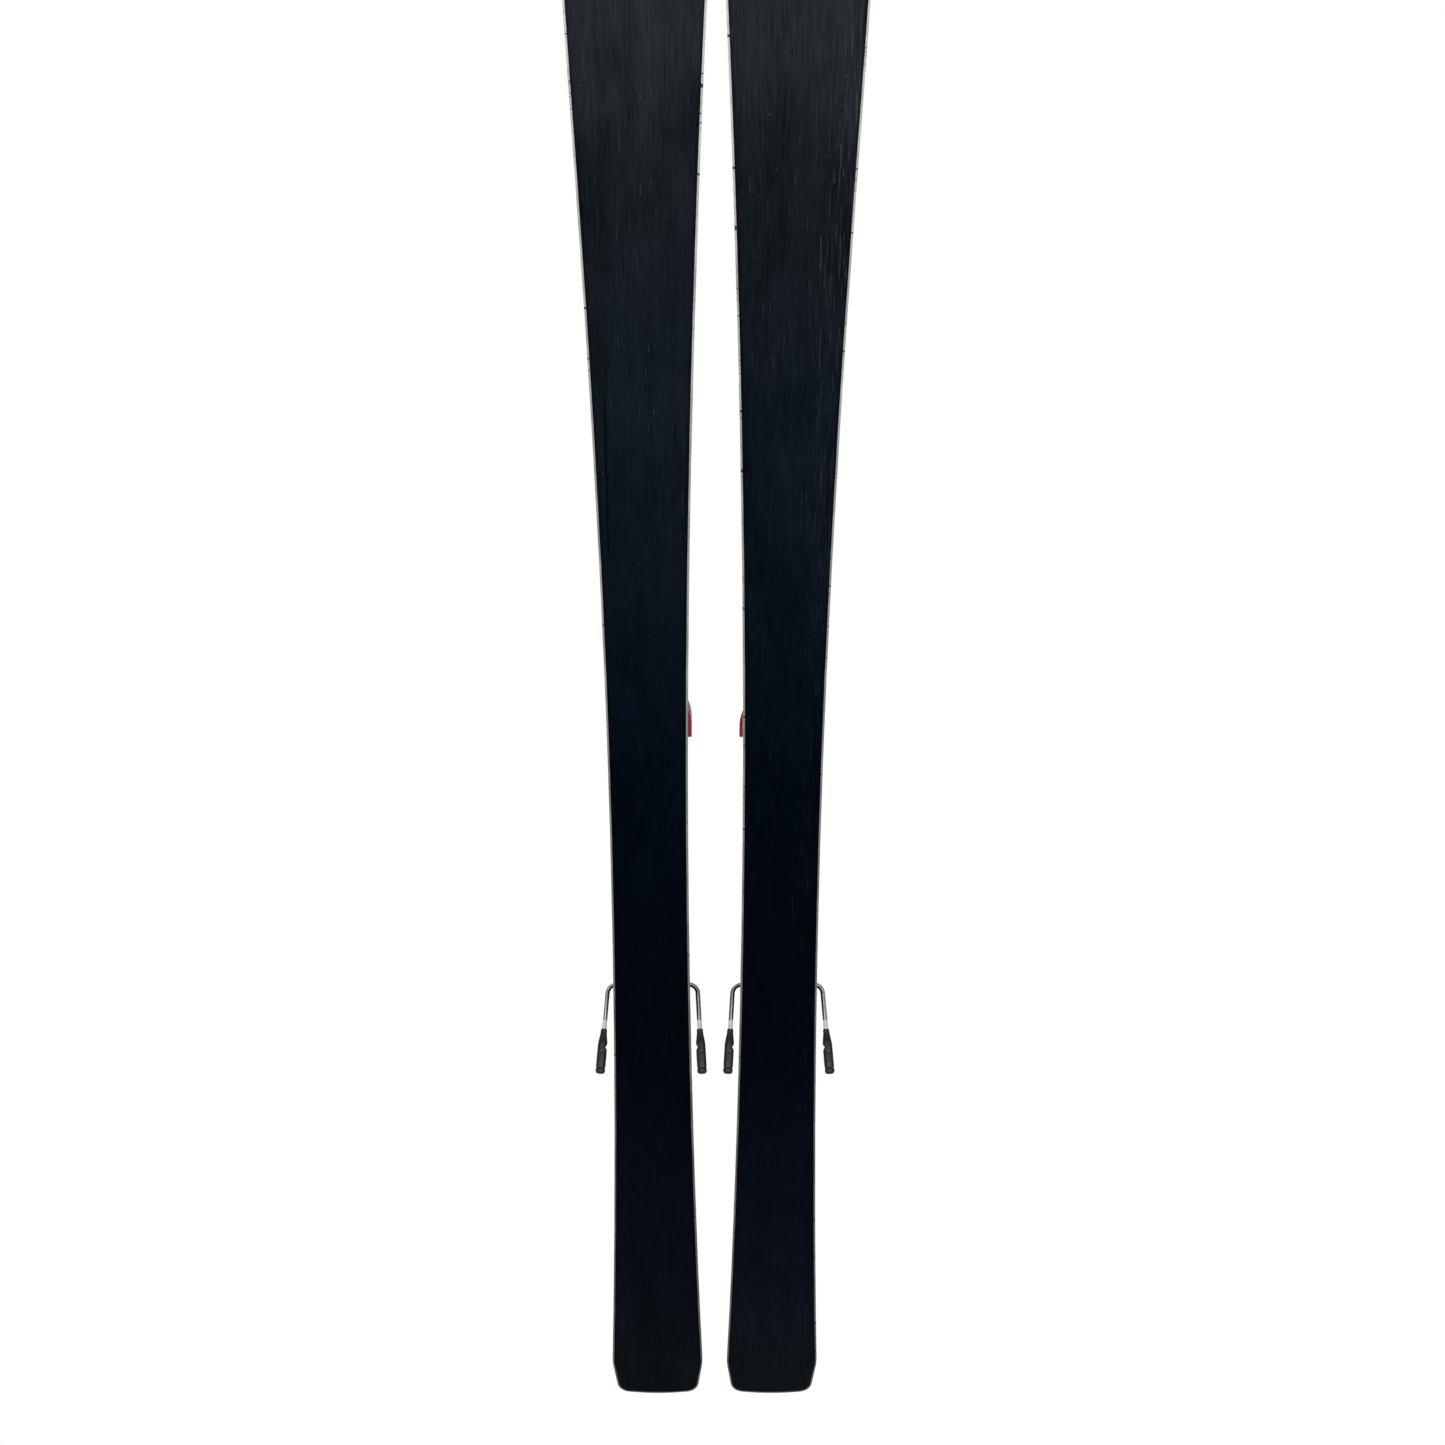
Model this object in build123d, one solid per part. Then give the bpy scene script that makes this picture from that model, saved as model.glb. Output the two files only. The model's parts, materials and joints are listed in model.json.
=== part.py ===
"""A pair of alpine skis with rail bindings and ski brakes, side by side, bases down.

Every function builds one piece of one ski in that ski's own frame, in millimetres: x runs from the tail (0)
to the tip, y across, z up from the plane of the two contact lines. place() moves a piece into the row frame:
+X towards the tips, +Z up, origin at the middle of the pair's box, on the surface that the brake feet touch.
"""
from build123d import *
from math import asin, cos, hypot, radians, sin, sqrt
import os

# ---- the pair ----
PAIR_GAP = 126.0            # between the two skis' centrelines

# ---- ski, seen from above ----
WAIST = 74.0
WAIST_X = 690.0
FRONT_SIDECUT = 14050.0     # sidecut radius ahead of the waist
REAR_SIDECUT = 16150.0      # and behind it
SHOVEL_X = 1505.0           # widest place at the front
HEEL_X = 50.0               # widest place at the tail
SHOVEL_RADIUS = 105.0
NOSE_RADIUS = 42.0
TAIL_CORNER = (5.0, 43.5)
TAIL_CORNER_RADIUS = 15.0
TAIL_BOW = 4.0              # the tail's end bulges this much
TAIL_START = TAIL_CORNER[0] - TAIL_BOW

# ---- ski, seen from the side ----
CAMBER = 10.0
REAR_CONTACT = 90.0
FRONT_CONTACT = 1330.0
TAIL_RISE_RADIUS = 900.0
TIP_RISE_RADIUS = 560.0
DECK = 24.0                 # height of the flat mounting zone
DECK_START = 420.0
DECK_END = 930.0
END_THICKNESS = 6.5

# ---- layers ----
BASE_THICK = 1.3
EDGE_WIDTH = 1.7
EDGE_HEIGHT = 1.9
EDGE_FLANGE = 4.5
LAMINATE_TOP = 2.6          # top of the lower laminate, above the base's face
SIDEWALL_WIDTH = 7.0
SHEET_THICK = 0.6
UPPER_LAMINATE = 1.0
CORE_END = 1490.0           # ahead of it a filler takes the core's place
TOP_INSET = 0.8

# ---- binding, common ----
BOOT_TOE = 826.0
BOOT_HEEL = 502.0
SOLE = DECK + 27.0          # height of the boot's sole
RAIL_HALF = 21.0
RAIL_TOP = DECK + 7.0
LIP_HALF = 24.0             # the rail's overhanging lip
LIP_LOW = DECK + 4.0
SLIDE_GAP = 0.15
PLATE_TOP = RAIL_TOP + 6.0
FRONT_RAIL = (765.0, 912.0)
REAR_RAIL = (378.0, 600.0)
SCREW_RADIUS = 2.75
SCREW_HEAD = 4.5
SCREW_DEPTH = 9.0

# ---- toe ----
TOE_PIVOT = 860.0
TOE_PIN_RADIUS = 5.0
CUP_X = BOOT_TOE - 35.0
CUP_INNER = 35.2
CUP_OUTER = 40.4
WING_END = 779.0
CUP_LOW = SOLE + 1.5
CUP_HIGH = SOLE + 26.0
LUG_TOP = SOLE + 20.5       # a boot's toe lug is about 19 high
TOE_AXIS_Z = SOLE + 9.5
TOE_BORE = 10.0
TOE_BORE_END = 918.0
TOE_FRONT = 927.0
TOE_LOW = PLATE_TOP + 10.0
TOE_HIGH = DECK + 56.0
AFD_X = 790.0
AFD_HALF_LENGTH = 18.0
AFD_HALF_WIDTH = 27.0
AFD_THICK = 4.5

# ---- heel: offsets from its axle ----
AXLE_X = BOOT_HEEL - 44.0
AXLE_Z = DECK + 34.0
AXLE_RADIUS = 4.0
HEEL_AXIS = 14.0            # the spring's axis above the axle
HEEL_BORE = 8.2
HEEL_BORE_FRONT = 3.0
HEEL_BORE_BACK = -35.0
HEEL_BACK = -42.0
LEVER_PIN = (-12.0, 30.0)
LEVER_PIN_RADIUS = 2.5
LEVER_HUB = 6.5
LEVER_LENGTH = 47.0
LEVER_RISE = 35.0           # degrees above the horizontal when closed
CHEEK_IN = 15.0
CHEEK_OUT = 22.0
CHEEK_RADIUS = 9.5
HEEL_SKIRT = 22.6           # inner face of the housing's side walls

# ---- brake ----
BRAKE_X = 514.0
BRAKE_Z = DECK + 12.0
WIRE = 4.7                  # wire diameter
ARM_ANGLE = 47.0            # below the horizontal when the brake is out
ARM_LENGTH = 90.0
ARM_Y = 45.0
ARM_SPLAY = 5.0
PEDAL_ANGLE = 58.0
PEDAL_REACH = 36.0
PEDAL_Y = 15.0
SADDLE_Y = 27.0
FOOT_LENGTH = 45.0
FOOT_WIDTH = 9.6
FOOT_THICK = 8.6


# ---------------------------------------------------------------- ski shape

def half_width(x):
    """Half the ski's width at x, along the sidecut."""
    radius = FRONT_SIDECUT if x > WAIST_X else REAR_SIDECUT
    return WAIST / 2 + radius - sqrt(radius**2 - (x - WAIST_X) ** 2)


def shovel():
    """Where the shovel's arc meets the nose's arc, as (length, point, x of the nose's centre)."""
    slope = asin((SHOVEL_X - WAIST_X) / FRONT_SIDECUT)
    centre_x = SHOVEL_X + SHOVEL_RADIUS * sin(slope)
    centre_y = half_width(SHOVEL_X) - SHOVEL_RADIUS * cos(slope)
    turn = asin(-centre_y / (SHOVEL_RADIUS - NOSE_RADIUS))
    nose_x = centre_x + (SHOVEL_RADIUS - NOSE_RADIUS) * cos(turn)
    joint = (nose_x + NOSE_RADIUS * cos(turn), NOSE_RADIUS * sin(turn))
    return nose_x + NOSE_RADIUS, joint, slope


LENGTH, NOSE_JOINT, SHOVEL_SLOPE = shovel()


def outline(inset=0.0):
    """The ski's plan as a face, set in all round by inset."""
    rear = (HEEL_X, half_width(HEEL_X))
    rear_middle = (WAIST_X + HEEL_X) / 2
    front_middle = (WAIST_X + SHOVEL_X) / 2
    tail = ThreePointArc((TAIL_CORNER[0], -TAIL_CORNER[1]), (TAIL_CORNER[0] - TAIL_BOW, 0), TAIL_CORNER)
    taper = Line(TAIL_CORNER, rear)
    rear_side = ThreePointArc(rear, (rear_middle, half_width(rear_middle)), (WAIST_X, WAIST / 2))
    front_side = ThreePointArc(
        (WAIST_X, WAIST / 2), (front_middle, half_width(front_middle)), (SHOVEL_X, half_width(SHOVEL_X)))
    shoulder = TangentArc(front_side @ 1, NOSE_JOINT, tangent=(cos(SHOVEL_SLOPE), sin(SHOVEL_SLOPE)))
    side = [taper, rear_side, front_side, shoulder]
    nose = ThreePointArc(NOSE_JOINT, (LENGTH, 0), (NOSE_JOINT[0], -NOSE_JOINT[1]))
    other_side = [edge.mirror(Plane.XZ) for edge in side]
    face = make_face([tail, *side, nose, *other_side])
    corners = face.vertices().sort_by(Axis.X)[:2]
    face = fillet(corners, TAIL_CORNER_RADIUS)
    shoulders = [v for v in face.vertices() if abs(v.X - HEEL_X) < 1.0]
    face = fillet(shoulders, 60.0)
    return offset(face, -inset) if inset else face


def base_height(x):
    """Height of the running face at x: a raised tail, the camber and a raised tip."""
    if x < REAR_CONTACT:
        return (REAR_CONTACT - x) ** 2 / (2 * TAIL_RISE_RADIUS)
    if x > FRONT_CONTACT:
        return (x - FRONT_CONTACT) ** 2 / (2 * TIP_RISE_RADIUS)
    across = (2 * x - REAR_CONTACT - FRONT_CONTACT) / (FRONT_CONTACT - REAR_CONTACT)
    return CAMBER * (1 - across**2) ** 2


def top_height(x):
    """Height of the top sheet at x: flat under the binding, thinner towards both ends."""
    if DECK_START <= x <= DECK_END:
        return DECK
    reach = DECK_START if x < DECK_START else LENGTH - DECK_END
    share = min(1.0, max(DECK_START - x, x - DECK_END) / reach)
    ease = share**2 * (3 - 2 * share)
    middle = DECK - CAMBER
    return base_height(x) + END_THICKNESS + (middle - END_THICKNESS) * (1 - ease) + flatten(x, share)


def flatten(x, share):
    """Carries the camber's height on from the flat zone, fading out towards the ends."""
    edge = DECK_START if x < DECK_START else DECK_END
    return (CAMBER - base_height(edge)) * (1 - share) ** 3


OVERRUN = 6.0
TAIL_STATIONS = [-OVERRUN, 40, 90, 160, 260, 350, DECK_START]
MID_STATIONS = [530, 640, 710, 790, 850]
TIP_STATIONS = [DECK_END, 1020, 1130, 1230, FRONT_CONTACT, 1400, 1470, 1540]


def base_curve(lift):
    """The running face's line in the XZ plane, lifted."""
    stations = TAIL_STATIONS + MID_STATIONS + TIP_STATIONS + [LENGTH + OVERRUN]
    return Spline(*[(x, base_height(x) + lift) for x in stations])


def top_curves(drop):
    """The top sheet's line in the XZ plane, lowered, as three joined curves."""
    back = Spline(*[(x, top_height(x) - drop) for x in TAIL_STATIONS], tangents=[(1, 0.05), (1, 0)])
    flat = Line((DECK_START, DECK - drop), (DECK_END, DECK - drop))
    stations = TIP_STATIONS + [LENGTH + OVERRUN]
    front = Spline(*[(x, top_height(x) - drop) for x in stations], tangents=[(1, 0), (1, 0.47)])
    return [back, flat, front]


def between(lower, upper):
    """A slab across the whole width, between two lines of the XZ plane."""
    start = Line(lower[0] @ 0, upper[0] @ 0)
    end = Line(lower[-1] @ 1, upper[-1] @ 1)
    face = make_face([*lower, end, *upper, start])
    return extrude(Plane.XZ * face, 90, both=True)


def slab(lift, height):
    """A slab that follows the running face."""
    return between([base_curve(lift)], [base_curve(lift + height)])


def tall(face):
    """A plan face as a tall prism, to cut slabs with."""
    return extrude(face, 120)


def stretch(x0, x1):
    """Everything between two places along the ski."""
    return Pos((x0 + x1) / 2, 0, 60) * Box(x1 - x0, 200, 240)


CORE_SLAB = None


def core_slab():
    """The slab between the two laminates, which the core, sidewalls and tip filler share."""
    global CORE_SLAB
    if CORE_SLAB is None:
        CORE_SLAB = between([base_curve(LAMINATE_TOP)], top_curves(SHEET_THICK + UPPER_LAMINATE))
    return CORE_SLAB


def ski_layers():
    """The laminated ski: running base, edges, laminates, core, sidewalls, tip filler and top sheet."""
    whole = tall(outline())
    inside_edge = tall(outline(EDGE_WIDTH))
    inside_flange = tall(outline(EDGE_WIDTH + EDGE_FLANGE))
    inside_wall = tall(outline(SIDEWALL_WIDTH))
    edge_slab = slab(0, EDGE_HEIGHT)
    flange_slab = slab(BASE_THICK, EDGE_HEIGHT - BASE_THICK)
    over_flange = slab(EDGE_HEIGHT, LAMINATE_TOP - EDGE_HEIGHT)
    on_base = slab(BASE_THICK, EDGE_HEIGHT - BASE_THICK)
    core_zone = stretch(-OVERRUN, CORE_END)
    filler_zone = stretch(CORE_END, LENGTH + OVERRUN)
    core_all = core_slab() & whole
    return {
        "running_base": slab(0, BASE_THICK) & inside_edge,
        "steel_edges": (edge_slab & (whole - inside_edge)) + (flange_slab & (inside_edge - inside_flange)),
        "lower_laminate": (over_flange & whole) + (on_base & inside_flange),
        "wood_core": core_all & inside_wall & core_zone,
        "sidewalls": (core_all - inside_wall) & core_zone,
        "tip_filler": core_all & filler_zone,
        "upper_laminate": between(
            top_curves(SHEET_THICK + UPPER_LAMINATE), top_curves(SHEET_THICK)) & tall(outline(TOP_INSET)),
        "top_sheet": between(top_curves(SHEET_THICK), top_curves(0)) & tall(outline(TOP_INSET)),
    }


# ---------------------------------------------------------------- small helpers

def block(x, y, z):
    """A box from three (low, high) pairs."""
    size = [high - low for low, high in (x, y, z)]
    return Pos(*[(low + high) / 2 for low, high in (x, y, z)]) * Box(*size)


def post(x, y, radius, low, high):
    """An upright cylinder."""
    return Pos(x, y, (low + high) / 2) * Cylinder(radius, high - low)


def rod_x(x0, x1, z, radius, y=0.0):
    """A cylinder along x."""
    return Pos((x0 + x1) / 2, y, z) * Rot(0, 90, 0) * Cylinder(radius, x1 - x0)


def rod_y(x, z, radius, half, y=0.0):
    """A cylinder across the ski, half its length to each side of y."""
    return Pos(x, y, z) * Rot(90, 0, 0) * Cylinder(radius, 2 * half)


def side_prism(points, half):
    """A prism across the ski from a side view."""
    return extrude(Plane.XZ * make_face(Polyline(*points, close=True)), half, both=True)


def coil(length, radius, wire_radius, turns):
    """A compression spring along +z from 0: half turns that tilt to and fro, tangent where they meet."""
    rise = length / (2 * turns)
    bow = hypot(radius, rise / 2)
    halves = []
    for i in range(2 * turns):
        side = (-1) ** i
        start = (side * radius, 0, i * rise)
        end = (-side * radius, 0, (i + 1) * rise)
        halves.append(ThreePointArc(start, (0, side * bow, (i + 0.5) * rise), end))
    path = Wire(halves)
    return sweep(Plane(origin=path @ 0, z_dir=path % 0) * Circle(wire_radius), path)


def screw_slot(x, z, length, width=1.6, depth=2.2):
    """The cross recess in the head of an adjusting screw whose face looks along the ski."""
    tall_slot = Pos(x, 0, z) * Box(2 * depth, width, length)
    flat_slot = Pos(x, 0, z) * Box(2 * depth, length, width)
    return tall_slot + flat_slot


# ---------------------------------------------------------------- rails and screws

def rail(x0, x1, notch):
    """One rail: a foot on the deck, a neck and two overhanging lips with index notches."""
    foot = block((x0, x1), (-RAIL_HALF, RAIL_HALF), (DECK, LIP_LOW))
    head = block((x0, x1), (-LIP_HALF, LIP_HALF), (LIP_LOW, RAIL_TOP))
    body = fillet((foot + head).edges().filter_by(Axis.Z).group_by(Axis.X)[0], 2.0)
    count = int((x1 - x0 - 20) / notch)
    for i in range(count):
        body -= Pos(x0 + 14 + i * notch, 0, RAIL_TOP) * Box(2.2, 14.0, 1.6)
    return body


def screw_places():
    """(x, y) of the eight rail screws."""
    rows = [FRONT_RAIL[0] + 22, FRONT_RAIL[1] - 22, REAR_RAIL[0] + 22, REAR_RAIL[1] - 22]
    return [(x, side * 15.0) for x in rows for side in (-1, 1)]


def screw_seat(x, y):
    """The space that a rail screw takes in the rail."""
    head = post(x, y, SCREW_HEAD, RAIL_TOP - 3.0, RAIL_TOP + 1)
    return head + post(x, y, SCREW_RADIUS, DECK - SCREW_DEPTH, RAIL_TOP)


def rail_screw(x, y):
    """A countersunk-seat ski screw, driven through the top sheet into the core."""
    head = post(x, y, SCREW_HEAD - 0.1, RAIL_TOP - 3.0, RAIL_TOP - 0.3)
    head -= Pos(x, y, RAIL_TOP - 0.3) * Box(1.2, 5.0, 2.4)
    head -= Pos(x, y, RAIL_TOP - 0.3) * Box(5.0, 1.2, 2.4)
    return head + post(x, y, SCREW_RADIUS, DECK - SCREW_DEPTH, RAIL_TOP - 2.9)


def binding_rails():
    """The front and the rear rail, with their screw holes."""
    seats = [screw_seat(x, y) for x, y in screw_places()]
    front = rail(*FRONT_RAIL, 6.0)
    rear = rail(*REAR_RAIL, 6.0)
    for seat in seats:
        front -= seat
        rear -= seat
    return Compound(children=[*front.solids(), *rear.solids()])


def rail_screws():
    """Eight screws."""
    return Compound(children=[rail_screw(x, y) for x, y in screw_places()])


def hooked_plate(x, half, top, corner):
    """A plate on a rail whose sides wrap under the rail's lips, with rounded outer corners."""
    plate = block(x, (-half, half), (RAIL_TOP + SLIDE_GAP, top))
    for side in (-1, 1):
        for inner_half, high in ((LIP_HALF, top - 1.0), (RAIL_HALF, LIP_LOW - SLIDE_GAP)):
            across = sorted((side * (inner_half + SLIDE_GAP), side * half))
            plate += block(x, across, (DECK + 1.0, high))
    corners = [edge for edge in plate.edges().filter_by(Axis.Z) if abs(edge.center().Y) > half - 0.1]
    return fillet(corners, corner)


# ---------------------------------------------------------------- toe piece

def toe_base():
    """The toe's sole plate, hooked on the front rail, with the pivot boss and the slider's pedestal."""
    body = hooked_plate((770.0, 908.0), 29.0, PLATE_TOP, 4.0)
    body += post(TOE_PIVOT, 0, 15.0, PLATE_TOP - 1, TOE_LOW - 0.3)
    top = SOLE - AFD_THICK - SLIDE_GAP
    pedestal = block((AFD_X - 16, AFD_X + 16), (-25, 25), (PLATE_TOP - 1, top))
    body += fillet(pedestal.edges().filter_by(Axis.Z), 4.0)
    body += block((AFD_X - 3, AFD_X + 3), (-25, 25), (top - 0.5, top + 2.0))
    return body - post(TOE_PIVOT, 0, TOE_PIN_RADIUS, PLATE_TOP - 4, TOE_LOW + 1)


def toe_pivot_pin():
    """The upright steel pin on which the toe jaw turns."""
    return post(TOE_PIVOT, 0, TOE_PIN_RADIUS, PLATE_TOP - 4, TOE_HIGH - 6)


def toe_wings():
    """The U-shaped jaw around the boot's toe, with a lip over the lug."""
    outer = post(CUP_X, 0, CUP_OUTER, CUP_LOW, CUP_HIGH)
    outer += block((WING_END, CUP_X), (-CUP_OUTER, CUP_OUTER), (CUP_LOW, CUP_HIGH))
    lug = post(CUP_X, 0, CUP_INNER, CUP_LOW - 1, LUG_TOP)
    lug += block((CUP_X - 60, CUP_X), (-CUP_INNER, CUP_INNER), (CUP_LOW - 1, LUG_TOP))
    above = post(CUP_X - 6, 0, CUP_INNER - 8, LUG_TOP - 1, CUP_HIGH + 1)
    above += block((CUP_X - 66, CUP_X - 6), (8 - CUP_INNER, CUP_INNER - 8), (LUG_TOP - 1, CUP_HIGH + 1))
    jaw = outer - block((CUP_X - 60, WING_END), (-60, 60), (CUP_LOW - 1, CUP_HIGH + 1)) - lug - above
    slope = side_prism([(WING_END - 5, CUP_HIGH + 5), (WING_END - 5, CUP_HIGH - 9), (818, CUP_HIGH + 5)], 60)
    return jaw - slope


def toe_housing():
    """The moulded body that carries the jaw, the spring and the adjusting screw."""
    back, front = CUP_X, TOE_FRONT
    side = make_face(Polyline(
        (back, TOE_LOW), (front - 4, TOE_LOW), (front, TOE_LOW + 5), (front, TOE_HIGH - 9),
        (front - 10, TOE_HIGH - 5), (870, TOE_HIGH), (835, TOE_HIGH), (back, TOE_HIGH - 6), close=True))
    body = extrude(Plane.XZ * side, 45, both=True)
    plan = make_face(Polyline(
        (805, -36), (840, -34), (900, -25), (front, -16), (front, 16), (900, 25), (840, 34), (805, 36),
        close=True))
    body &= extrude(Pos(0, 0, TOE_LOW - 5) * fillet(plan.vertices().sort_by(Axis.X)[2:], 9.0), 60)
    body -= post(CUP_X, 0, CUP_OUTER, TOE_LOW - 5, CUP_HIGH)
    body -= post(CUP_X, 0, CUP_OUTER - 4, CUP_HIGH - 1, TOE_HIGH + 5)
    body -= block((780, 822), (-60, 60), (TOE_LOW - 5, TOE_HIGH + 5))
    body -= post(TOE_PIVOT, 0, TOE_PIN_RADIUS + 0.06, TOE_LOW - 5, TOE_HIGH - 5.7)
    body -= rod_x(TOE_PIVOT + 4, TOE_BORE_END, TOE_AXIS_Z, TOE_BORE)
    body -= rod_x(TOE_BORE_END - 1, TOE_FRONT + 1, TOE_AXIS_Z, TOE_BORE - 3)
    window = block((886, 904), (-4.5, 4.5), (TOE_AXIS_Z, TOE_HIGH + 2))
    return body - window


def toe_piston():
    """The piston that the spring presses against the pivot pin."""
    body = rod_x(TOE_PIVOT + 4.6, TOE_PIVOT + 14, TOE_AXIS_Z, TOE_BORE - 0.3)
    return body - post(TOE_PIVOT, 0, TOE_PIN_RADIUS + 0.4, TOE_LOW - 5, TOE_HIGH)


def toe_spring():
    """The toe's release spring."""
    start, end = TOE_PIVOT + 15.6, TOE_BORE_END - 6.6
    return Pos(start, 0, TOE_AXIS_Z) * Rot(0, 90, 0) * coil(end - start, 7.4, 1.4, 7)


def toe_screw():
    """The toe's release adjuster: a flanged plug with a slotted head."""
    flange = rod_x(TOE_BORE_END - 5.0, TOE_BORE_END - 0.1, TOE_AXIS_Z, TOE_BORE - 0.4)
    head = rod_x(TOE_BORE_END - 1, TOE_FRONT - 1.0, TOE_AXIS_Z, TOE_BORE - 3.1)
    return flange + head - screw_slot(TOE_FRONT - 1.0, TOE_AXIS_Z, 9.0)


def afd_plate():
    """The low-friction slider under the boot's toe, keyed on the pedestal's rib."""
    low = SOLE - AFD_THICK
    x = (AFD_X - AFD_HALF_LENGTH, AFD_X + AFD_HALF_LENGTH)
    plate = block(x, (-AFD_HALF_WIDTH, AFD_HALF_WIDTH), (low, SOLE))
    plate = fillet(plate.edges().filter_by(Axis.Z), 5.0)
    plate -= block((AFD_X - 3.2, AFD_X + 3.2), (-60, 60), (low - 1, low + 2.2))
    return chamfer(plate.faces().sort_by(Axis.Z)[-1].edges(), 0.8)


# ---------------------------------------------------------------- heel piece

def at_axle(x, z):
    """A point of the side view, given from the heel's axle."""
    return AXLE_X + x, AXLE_Z + z


def heel_base():
    """The heel's carriage on the rear rail, with two cheeks for the axle and the cam for the piston."""
    body = hooked_plate((386.0, BOOT_HEEL - 6), 27.0, PLATE_TOP, 2.5)
    cheek = make_face(Polyline(at_axle(-14, -22), at_axle(24, -22), at_axle(9, 2), at_axle(-9, 2), close=True))
    cheek += Pos(*at_axle(0, 0)) * Circle(CHEEK_RADIUS)
    for side in (-1, 1):
        middle = side * (CHEEK_IN + CHEEK_OUT) / 2
        body += Pos(0, middle, 0) * extrude(Plane.XZ * cheek, (CHEEK_OUT - CHEEK_IN) / 2, both=True)
    body += block((AXLE_X + 12, AXLE_X + 18), (-9, 9), (PLATE_TOP - 1, AXLE_Z + 20))
    body -= block((400.0, AXLE_X - 15), (-19.5, 19.5), (RAIL_TOP, PLATE_TOP + 1))
    return body - rod_y(AXLE_X, AXLE_Z, AXLE_RADIUS, 40)


def heel_axle():
    """The steel axle through the carriage's cheeks and the housing's walls."""
    return rod_y(AXLE_X, AXLE_Z, AXLE_RADIUS, 28.5)


def heel_housing():
    """The heel jaw: the cup behind the boot, the treadle under it, and the body over spring and axle."""
    cup = BOOT_HEEL - AXLE_X
    side = make_face(Polyline(
        at_axle(HEEL_BACK, 7), at_axle(HEEL_BACK + 3, 3), at_axle(-25, 3), at_axle(-13, -11),
        at_axle(cup - 10, -11), at_axle(cup + 9, -10), at_axle(cup + 9, -6.6), at_axle(cup + 12, 24),
        at_axle(cup + 12, 29), at_axle(cup - 14, 36), at_axle(8, 36), at_axle(-6, 25),
        at_axle(HEEL_BACK + 4, 25), at_axle(HEEL_BACK, 21), close=True))
    body = extrude(Plane.XZ * side, 45, both=True)
    plan = make_face(Polyline(
        (AXLE_X + HEEL_BACK, -16), (AXLE_X - 25, -18.5), (AXLE_X - 8, -30), (AXLE_X + 20, -34),
        (BOOT_HEEL + 12, -36), (BOOT_HEEL + 12, 36), (AXLE_X + 20, 34), (AXLE_X - 8, 30),
        (AXLE_X - 25, 18.5), (AXLE_X + HEEL_BACK, 16), close=True))
    plan = fillet(plan.vertices(), 6.0)
    body &= extrude(Pos(0, 0, AXLE_Z - 30) * plan, 90)
    boot = BOOT_HEEL + 34.0
    body -= post(boot, 0, 34.6, SOLE + 0.4, SOLE + 30.5)
    body -= post(boot + 4, 0, 31.0, SOLE + 29, SOLE + 60)
    body -= block((BOOT_HEEL + 6, BOOT_HEEL + 60), (-26, 26), (AXLE_Z - 20, SOLE + 1))
    ear = block((AXLE_X - 20, AXLE_X - 2), (-7, 7), (AXLE_Z + 22, AXLE_Z + 31))
    ear += rod_y(AXLE_X + LEVER_PIN[0], AXLE_Z + LEVER_PIN[1], LEVER_HUB, 7)
    groove = rod_y(AXLE_X + LEVER_PIN[0], AXLE_Z + LEVER_PIN[1], LEVER_HUB + 0.6, 50)
    body = body - groove + ear
    hollow = block((AXLE_X - 24, AXLE_X + 32), (-HEEL_SKIRT, HEEL_SKIRT), (AXLE_Z - 20, AXLE_Z + 10.5))
    cam_room = block((AXLE_X + 3, AXLE_X + 32), (-11, 11), (AXLE_Z, AXLE_Z + 23))
    body -= hollow + cam_room
    body -= rod_y(AXLE_X, AXLE_Z, AXLE_RADIUS + 0.06, 60)
    bore_z = AXLE_Z + HEEL_AXIS
    body -= rod_x(AXLE_X + HEEL_BORE_BACK, AXLE_X + 5, bore_z, HEEL_BORE)
    body -= rod_x(AXLE_X + HEEL_BACK - 1, AXLE_X + HEEL_BORE_BACK + 1, bore_z, HEEL_BORE - 2)
    return body - rod_y(AXLE_X + LEVER_PIN[0], AXLE_Z + LEVER_PIN[1], LEVER_PIN_RADIUS, 8)


def heel_piston():
    """The piston that the spring presses forward against the carriage's cam."""
    z = AXLE_Z + HEEL_AXIS
    nose = rod_x(AXLE_X + HEEL_BORE_FRONT - 4, AXLE_X + 11.7, z, 5.5)
    return nose + rod_x(AXLE_X - 7, AXLE_X + HEEL_BORE_FRONT, z, HEEL_BORE - 0.3)


def heel_spring():
    """The heel's release spring."""
    start, end = AXLE_X + HEEL_BORE_BACK + 6.4, AXLE_X - 8.6
    return Pos(start, 0, AXLE_Z + HEEL_AXIS) * Rot(0, 90, 0) * coil(end - start, 6.0, 1.4, 5)


def heel_screw():
    """The heel's release adjuster at the back of the housing."""
    z = AXLE_Z + HEEL_AXIS
    flange = rod_x(AXLE_X + HEEL_BORE_BACK + 0.1, AXLE_X + HEEL_BORE_BACK + 4.8, z, HEEL_BORE - 0.3)
    head = rod_x(AXLE_X + HEEL_BACK + 1.0, AXLE_X + HEEL_BORE_BACK + 1, z, HEEL_BORE - 2.1)
    return flange + head - screw_slot(AXLE_X + HEEL_BACK + 1.0, z, 8.0)


def lever_pin():
    """The pin of the opening lever, pressed into the housing's ear."""
    return rod_y(AXLE_X + LEVER_PIN[0], AXLE_Z + LEVER_PIN[1], LEVER_PIN_RADIUS, 26)


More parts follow.
